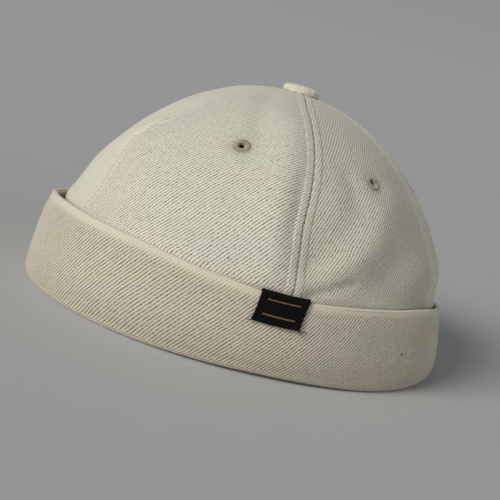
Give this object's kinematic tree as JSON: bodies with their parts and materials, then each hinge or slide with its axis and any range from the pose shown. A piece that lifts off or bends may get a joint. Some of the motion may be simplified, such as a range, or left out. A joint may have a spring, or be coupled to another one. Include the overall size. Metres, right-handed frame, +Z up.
{
  "type": "docker cap",
  "caption": "Brimless cap with a round crown sewn from panels, a thread eyelet in each, a covered button on top, a turned-up rolled cuff and a small bare tab over the cuff's rim.",
  "frame": {"origin": "on the surface that the cap rests on, under the middle of the cuff", "axes": "+Z up through the crown, +Y from the front of the cap to its back, +X to the wearer's left"},
  "size_m": [0.1848, 0.2118, 0.1131],
  "materials": {
    "crown_twill": "matt cream cotton twill with dark flecks",
    "cuff_twill": "matt cream cotton twill with dark flecks",
    "button_twill": "matt cream cotton twill over a stiff disc",
    "eyelet_thread": "sewn thread",
    "black_tape": "woven black tape"
  },
  "bodies": {
    "root": {"panel_front_left": "crown_twill", "panel_side_left": "crown_twill", "panel_back_left": "crown_twill", "panel_back_right": "crown_twill", "panel_side_right": "crown_twill", "panel_front_right": "crown_twill", "eyelet_front_left": "eyelet_thread", "eyelet_side_left": "eyelet_thread", "eyelet_back_left": "eyelet_thread", "eyelet_back_right": "eyelet_thread", "eyelet_side_right": "eyelet_thread", "eyelet_front_right": "eyelet_thread", "top_button": "button_twill", "cuff": "cuff_twill", "label": "black_tape"}
  },
  "joints": []
}
